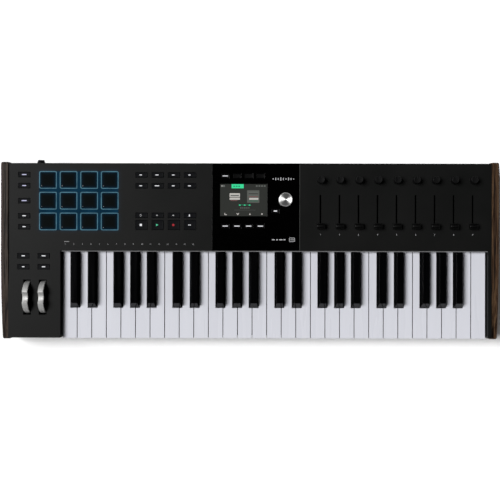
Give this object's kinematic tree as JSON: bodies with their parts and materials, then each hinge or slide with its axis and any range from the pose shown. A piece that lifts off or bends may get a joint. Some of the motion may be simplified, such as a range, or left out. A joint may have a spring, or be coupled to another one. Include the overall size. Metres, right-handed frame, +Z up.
{
  "type": "midi keyboard",
  "caption": "Music controller keyboard with lever keys, two hand wheels, lit pads, display, knobs, faders, buttons and wooden cheeks.",
  "frame": {"origin": "middle of the footprint, on the plane that the feet stand on", "axes": "+X to the player's right along the keys, +Y away from the player, +Z up"},
  "size_m": [0.7984, 0.2886, 0.074],
  "materials": {
    "case_black": "fine moulded texture",
    "panel_black": "matt powder coat",
    "walnut": "oiled walnut",
    "gloss_black": "polished",
    "display_glass": "clear cover over a lit display",
    "frame_plastic": "moulded",
    "steel": "bright zinc",
    "board_green": "solder mask",
    "felt_grey": "pressed felt",
    "light_ring": "lit clear plastic",
    "socket_black": "moulded",
    "foot_rubber": "matt",
    "button_black": "satin",
    "wheel_silver": "brushed rim",
    "encoder_silver": "turned",
    "pad_black": "silicone, fine texture",
    "key_white": "satin gloss",
    "key_black": "satin",
    "knob_black": "soft-touch",
    "fader_black": "satin"
  },
  "bodies": {
    "chassis": {"bottom_case": "case_black", "top_panel": "panel_black", "cheek_left": "walnut", "cheek_right": "walnut", "centre_panel": "gloss_black", "display_module": "display_glass", "keybed_frame": "frame_plastic", "hinge_rod": "steel", "key_contact_board": "board_green", "key_return_springs": "steel", "key_felts": "felt_grey", "control_board": "board_green", "main_board": "board_green", "pad_light_frames": "light_ring", "slide_pots": "steel", "rotary_encoders": "steel", "wheel_cradle": "frame_plastic", "rear_sockets": "socket_black", "rubber_feet": "foot_rubber", "case_screws": "steel"},
    "power_button": {"power_button": "button_black"},
    "pitch_wheel": {"pitch_wheel": "wheel_silver"},
    "mod_wheel": {"mod_wheel": "wheel_silver"},
    "encoder_shaft": {"encoder_shaft": "steel"},
    "encoder_knob": {"encoder_knob": "encoder_silver"},
    "pads": {"pads": "pad_black"},
    "side_buttons": {"side_buttons": "button_black"},
    "daw_buttons": {"daw_buttons": "button_black"},
    "context_buttons": {"context_buttons": "button_black"},
    "keys_1_ceg_b": {"keys_1_ceg_b": "key_white"},
    "keys_1_d_f_a": {"keys_1_d_f_a": "key_white"},
    "keys_1_sharps": {"keys_1_sharps": "key_black"},
    "keys_2_ceg_b": {"keys_2_ceg_b": "key_white"},
    "keys_2_d_f_a": {"keys_2_d_f_a": "key_white"},
    "keys_2_sharps": {"keys_2_sharps": "key_black"},
    "keys_3_ceg_b": {"keys_3_ceg_b": "key_white"},
    "keys_3_d_f_a": {"keys_3_d_f_a": "key_white"},
    "keys_3_sharps": {"keys_3_sharps": "key_black"},
    "keys_4_ceg_b": {"keys_4_ceg_b": "key_white"},
    "keys_4_d_f_a": {"keys_4_d_f_a": "key_white"},
    "keys_4_sharps": {"keys_4_sharps": "key_black"},
    "key_top_c": {"key_top_c": "key_white"},
    "knob_1": {"knob_1": "knob_black"},
    "knob_2": {"knob_2": "knob_black"},
    "knob_3": {"knob_3": "knob_black"},
    "knob_4": {"knob_4": "knob_black"},
    "knob_5": {"knob_5": "knob_black"},
    "knob_6": {"knob_6": "knob_black"},
    "knob_7": {"knob_7": "knob_black"},
    "knob_8": {"knob_8": "knob_black"},
    "knob_9": {"knob_9": "knob_black"},
    "fader_1": {"fader_1": "fader_black"},
    "fader_2": {"fader_2": "fader_black"},
    "fader_3": {"fader_3": "fader_black"},
    "fader_4": {"fader_4": "fader_black"},
    "fader_5": {"fader_5": "fader_black"},
    "fader_6": {"fader_6": "fader_black"},
    "fader_7": {"fader_7": "fader_black"},
    "fader_8": {"fader_8": "fader_black"},
    "fader_9": {"fader_9": "fader_black"}
  },
  "joints": [
    {"name": "power_push", "type": "slide", "parent": "chassis", "child": "power_button", "axis": [0, -1, 0], "range_m": [0, 0.002], "stiffness_N_per_m": 400, "springref_m": -0.001},
    {"name": "pads_press", "type": "slide", "parent": "chassis", "child": "pads", "axis": [0, 0, -1], "range_m": [0, 0.0008], "stiffness_N_per_m": 3000, "springref_m": -0.001},
    {"name": "side_buttons_press", "type": "slide", "parent": "chassis", "child": "side_buttons", "axis": [0, 0, -1], "range_m": [0, 0.001], "stiffness_N_per_m": 600, "springref_m": -0.001},
    {"name": "daw_buttons_press", "type": "slide", "parent": "chassis", "child": "daw_buttons", "axis": [0, 0, -1], "range_m": [0, 0.001], "stiffness_N_per_m": 900, "springref_m": -0.001},
    {"name": "context_buttons_press", "type": "slide", "parent": "chassis", "child": "context_buttons", "axis": [0, 0, -1], "range_m": [0, 0.001], "stiffness_N_per_m": 500, "springref_m": -0.001},
    {"name": "encoder_push", "type": "slide", "parent": "chassis", "child": "encoder_shaft", "axis": [0, 0, -1], "range_m": [0, 0.001], "stiffness_N_per_m": 900, "springref_m": -0.001},
    {"name": "encoder_turn", "type": "hinge", "parent": "encoder_shaft", "child": "encoder_knob", "pos_m": [0.0565, 0.0802, 0.066], "axis": [0, 0, 1], "continuous": true},
    {"name": "pitch_turn", "type": "hinge", "parent": "chassis", "child": "pitch_wheel", "pos_m": [-0.3573, -0.0762, 0.0478], "axis": [1, 0, 0], "range_deg": [-35, 35], "stiffness_Nm_per_rad": 0.05},
    {"name": "mod_turn", "type": "hinge", "parent": "chassis", "child": "mod_wheel", "pos_m": [-0.3322, -0.0762, 0.0478], "axis": [1, 0, 0], "range_deg": [-35, 35]},
    {"name": "fader_1_slide", "type": "slide", "parent": "chassis", "child": "fader_1", "axis": [0, 1, 0], "range_m": [0, 0.045]},
    {"name": "fader_2_slide", "type": "slide", "parent": "chassis", "child": "fader_2", "axis": [0, 1, 0], "range_m": [0, 0.045]},
    {"name": "fader_3_slide", "type": "slide", "parent": "chassis", "child": "fader_3", "axis": [0, 1, 0], "range_m": [0, 0.045]},
    {"name": "fader_4_slide", "type": "slide", "parent": "chassis", "child": "fader_4", "axis": [0, 1, 0], "range_m": [0, 0.045]},
    {"name": "fader_5_slide", "type": "slide", "parent": "chassis", "child": "fader_5", "axis": [0, 1, 0], "range_m": [0, 0.045]},
    {"name": "fader_6_slide", "type": "slide", "parent": "chassis", "child": "fader_6", "axis": [0, 1, 0], "range_m": [0, 0.045]},
    {"name": "fader_7_slide", "type": "slide", "parent": "chassis", "child": "fader_7", "axis": [0, 1, 0], "range_m": [0, 0.045]},
    {"name": "fader_8_slide", "type": "slide", "parent": "chassis", "child": "fader_8", "axis": [0, 1, 0], "range_m": [0, 0.045]},
    {"name": "fader_9_slide", "type": "slide", "parent": "chassis", "child": "fader_9", "axis": [0, 1, 0], "range_m": [0, 0.045]},
    {"name": "knob_1_turn", "type": "hinge", "parent": "chassis", "child": "knob_1", "pos_m": [0.1129, 0.1122, 0.065], "axis": [0, 0, 1], "continuous": true},
    {"name": "knob_2_turn", "type": "hinge", "parent": "chassis", "child": "knob_2", "pos_m": [0.1434, 0.1122, 0.065], "axis": [0, 0, 1], "continuous": true},
    {"name": "knob_3_turn", "type": "hinge", "parent": "chassis", "child": "knob_3", "pos_m": [0.1739, 0.1122, 0.065], "axis": [0, 0, 1], "continuous": true},
    {"name": "knob_4_turn", "type": "hinge", "parent": "chassis", "child": "knob_4", "pos_m": [0.2044, 0.1122, 0.065], "axis": [0, 0, 1], "continuous": true},
    {"name": "knob_5_turn", "type": "hinge", "parent": "chassis", "child": "knob_5", "pos_m": [0.2349, 0.1122, 0.065], "axis": [0, 0, 1], "continuous": true},
    {"name": "knob_6_turn", "type": "hinge", "parent": "chassis", "child": "knob_6", "pos_m": [0.2654, 0.1122, 0.065], "axis": [0, 0, 1], "continuous": true},
    {"name": "knob_7_turn", "type": "hinge", "parent": "chassis", "child": "knob_7", "pos_m": [0.2959, 0.1122, 0.065], "axis": [0, 0, 1], "continuous": true},
    {"name": "knob_8_turn", "type": "hinge", "parent": "chassis", "child": "knob_8", "pos_m": [0.3264, 0.1122, 0.065], "axis": [0, 0, 1], "continuous": true},
    {"name": "knob_9_turn", "type": "hinge", "parent": "chassis", "child": "knob_9", "pos_m": [0.3569, 0.1122, 0.065], "axis": [0, 0, 1], "continuous": true},
    {"name": "keys_1_ceg_b_press", "type": "hinge", "parent": "chassis", "child": "keys_1_ceg_b", "pos_m": [0, 0.0594, 0.037], "axis": [1, 0, 0], "range_deg": [0, 2.8], "stiffness_Nm_per_rad": 4, "springref_deg": -8.59},
    {"name": "keys_1_d_f_a_press", "type": "hinge", "parent": "chassis", "child": "keys_1_d_f_a", "pos_m": [0, 0.0594, 0.037], "axis": [1, 0, 0], "range_deg": [0, 2.8], "stiffness_Nm_per_rad": 4, "springref_deg": -8.59},
    {"name": "keys_1_sharps_press", "type": "hinge", "parent": "chassis", "child": "keys_1_sharps", "pos_m": [0, 0.0594, 0.037], "axis": [1, 0, 0], "range_deg": [0, 2.8], "stiffness_Nm_per_rad": 4, "springref_deg": -8.59},
    {"name": "keys_2_ceg_b_press", "type": "hinge", "parent": "chassis", "child": "keys_2_ceg_b", "pos_m": [0, 0.0594, 0.037], "axis": [1, 0, 0], "range_deg": [0, 2.8], "stiffness_Nm_per_rad": 4, "springref_deg": -8.59},
    {"name": "keys_2_d_f_a_press", "type": "hinge", "parent": "chassis", "child": "keys_2_d_f_a", "pos_m": [0, 0.0594, 0.037], "axis": [1, 0, 0], "range_deg": [0, 2.8], "stiffness_Nm_per_rad": 4, "springref_deg": -8.59},
    {"name": "keys_2_sharps_press", "type": "hinge", "parent": "chassis", "child": "keys_2_sharps", "pos_m": [0, 0.0594, 0.037], "axis": [1, 0, 0], "range_deg": [0, 2.8], "stiffness_Nm_per_rad": 4, "springref_deg": -8.59},
    {"name": "keys_3_ceg_b_press", "type": "hinge", "parent": "chassis", "child": "keys_3_ceg_b", "pos_m": [0, 0.0594, 0.037], "axis": [1, 0, 0], "range_deg": [0, 2.8], "stiffness_Nm_per_rad": 4, "springref_deg": -8.59},
    {"name": "keys_3_d_f_a_press", "type": "hinge", "parent": "chassis", "child": "keys_3_d_f_a", "pos_m": [0, 0.0594, 0.037], "axis": [1, 0, 0], "range_deg": [0, 2.8], "stiffness_Nm_per_rad": 4, "springref_deg": -8.59},
    {"name": "keys_3_sharps_press", "type": "hinge", "parent": "chassis", "child": "keys_3_sharps", "pos_m": [0, 0.0594, 0.037], "axis": [1, 0, 0], "range_deg": [0, 2.8], "stiffness_Nm_per_rad": 4, "springref_deg": -8.59},
    {"name": "keys_4_ceg_b_press", "type": "hinge", "parent": "chassis", "child": "keys_4_ceg_b", "pos_m": [0, 0.0594, 0.037], "axis": [1, 0, 0], "range_deg": [0, 2.8], "stiffness_Nm_per_rad": 4, "springref_deg": -8.59},
    {"name": "keys_4_d_f_a_press", "type": "hinge", "parent": "chassis", "child": "keys_4_d_f_a", "pos_m": [0, 0.0594, 0.037], "axis": [1, 0, 0], "range_deg": [0, 2.8], "stiffness_Nm_per_rad": 4, "springref_deg": -8.59},
    {"name": "keys_4_sharps_press", "type": "hinge", "parent": "chassis", "child": "keys_4_sharps", "pos_m": [0, 0.0594, 0.037], "axis": [1, 0, 0], "range_deg": [0, 2.8], "stiffness_Nm_per_rad": 4, "springref_deg": -8.59},
    {"name": "key_top_c_press", "type": "hinge", "parent": "chassis", "child": "key_top_c", "pos_m": [0, 0.0594, 0.037], "axis": [1, 0, 0], "range_deg": [0, 2.8], "stiffness_Nm_per_rad": 1, "springref_deg": -8.59}
  ]
}
